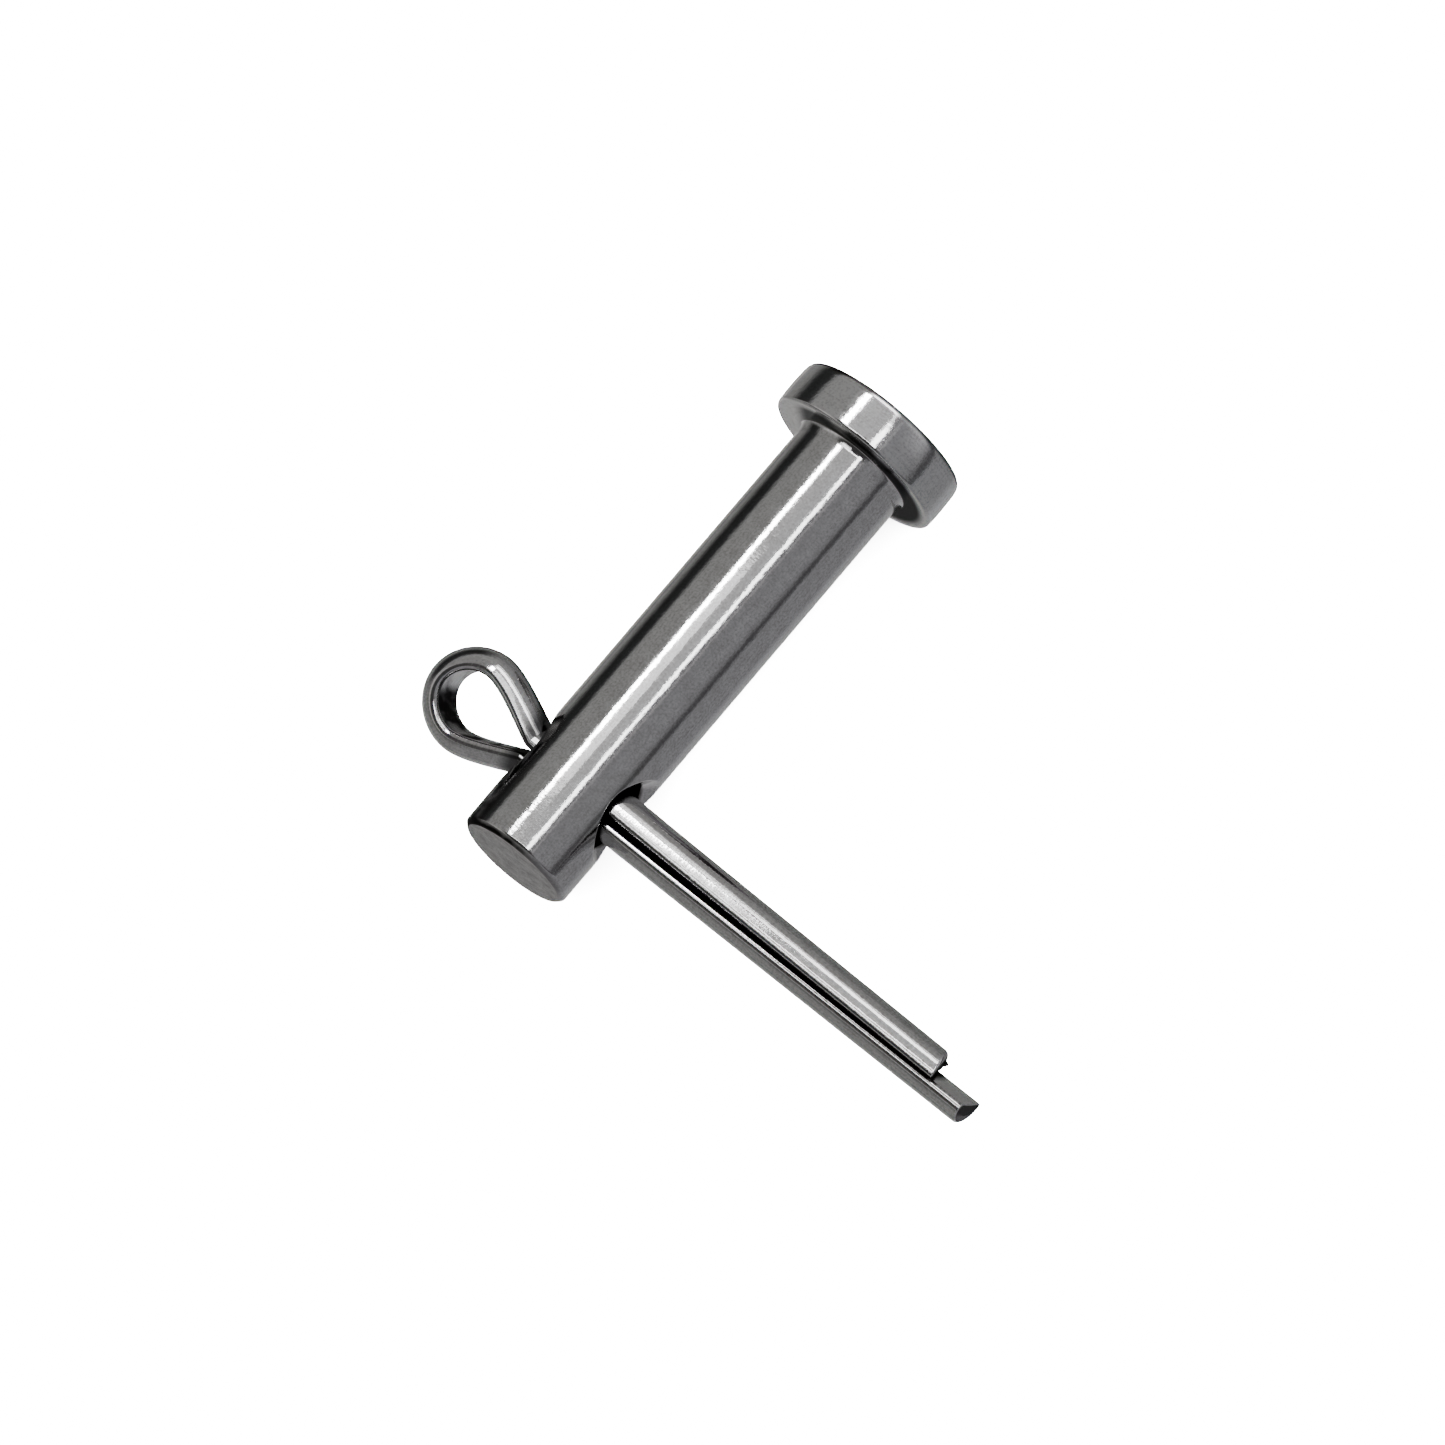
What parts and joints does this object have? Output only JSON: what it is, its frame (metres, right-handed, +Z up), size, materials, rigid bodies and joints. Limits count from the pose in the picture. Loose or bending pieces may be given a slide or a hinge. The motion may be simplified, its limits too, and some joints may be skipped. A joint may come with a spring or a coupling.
{
  "type": "headed clevis pin with split cotter",
  "caption": "Short headed clevis pin in bright stainless steel, with a countersunk cross hole near its plain end, locked by a loose split cotter pin that has a teardrop eye and straight legs.",
  "frame": {"origin": "centre of the clevis pin's flat end, at the tip of the shank", "axes": "+Y along the pin from tip to head, +X along the cross hole from the cotter's eye to its leg tips, +Z up from the surface the part lies on"},
  "size_m": [0.036, 0.0292, 0.0098],
  "materials": {
    "pin_steel": "polished along the turning, with faint mottling",
    "cotter_steel": "bright drawn wire with faint lengthwise lines"
  },
  "bodies": {
    "pin_body": {"clevis_pin": "pin_steel"},
    "cotter_body": {"cotter_pin": "cotter_steel"}
  },
  "joints": [
    {"name": "cotter_pull", "type": "slide", "parent": "pin_body", "child": "cotter_body", "axis": [-0.9983, 0.0576, 0], "range_m": [0, 0.031]}
  ]
}
